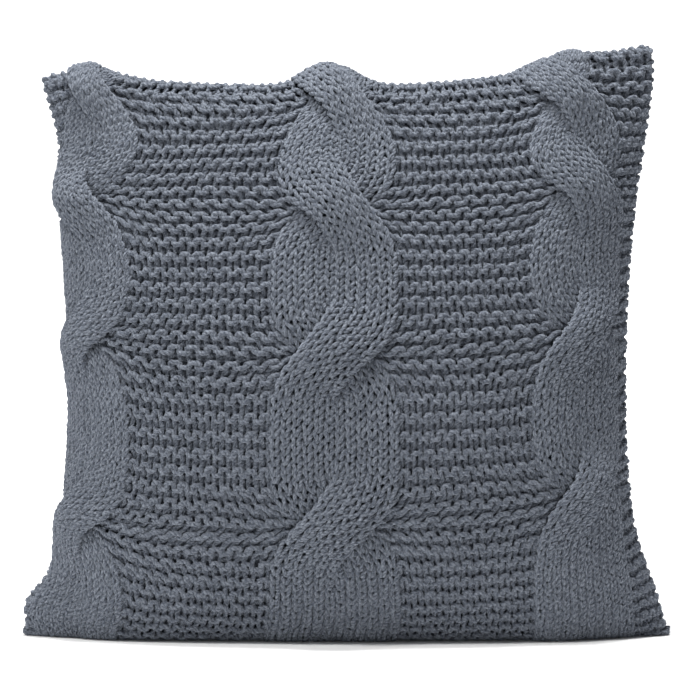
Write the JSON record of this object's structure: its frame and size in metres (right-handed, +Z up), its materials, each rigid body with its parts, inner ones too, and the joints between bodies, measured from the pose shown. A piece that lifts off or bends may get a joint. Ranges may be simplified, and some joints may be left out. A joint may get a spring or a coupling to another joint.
{
  "type": "throw pillow",
  "caption": "Square throw pillow: chunky cable-knit cover with a zip in its back, over a separate fibre-filled insert.",
  "frame": {"origin": "centre of the pillow's footprint, on the surface it stands on", "axes": "+Z up from the bottom edge to the top edge; the cabled front faces -Y and the zipped back +Y; +X to the right as the front is looked at"},
  "size_m": [0.46, 0.16, 0.412],
  "materials": {
    "knit_front": "matte plied yarn, chunky cable and garter knit",
    "knit_back": "matte plied yarn, plain stocking-stitch knit",
    "seam_yarn": "matte plied yarn",
    "zip_tape": "fine woven polyester tape",
    "zip_nylon": "satin moulded teeth",
    "zip_metal": "dull gunmetal plating",
    "casing": "plain woven cotton",
    "casing_thread": "overlocked sewing thread",
    "fibre_fill": "soft polyester fibre"
  },
  "bodies": {
    "pillow": {"cover_front": "knit_front", "cover_back_upper": "knit_back", "cover_back_lower": "knit_back", "cover_seam_yarn": "seam_yarn", "zip_tape_upper": "zip_tape", "zip_tape_lower": "zip_tape", "zip_teeth_upper": "zip_nylon", "zip_teeth_lower": "zip_nylon", "zip_top_stop_upper": "zip_metal", "zip_top_stop_lower": "zip_metal", "zip_bottom_stop": "zip_metal", "insert_case_front": "casing", "insert_case_back": "casing", "insert_seam_thread": "casing_thread", "insert_fill": "fibre_fill"},
    "slider": {"zip_slider": "zip_metal"},
    "pull_tab": {"zip_pull_tab": "zip_metal"}
  },
  "joints": [
    {"name": "zip_slide", "type": "slide", "parent": "pillow", "child": "slider", "axis": [1, 0, 0], "range_m": [0, 0.2674]},
    {"name": "tab_hinge", "type": "hinge", "parent": "slider", "child": "pull_tab", "pos_m": [-0.1337, 0.06345, 0.05964], "axis": [0, 0.2419, 0.9703], "range_deg": [0, 180]}
  ]
}
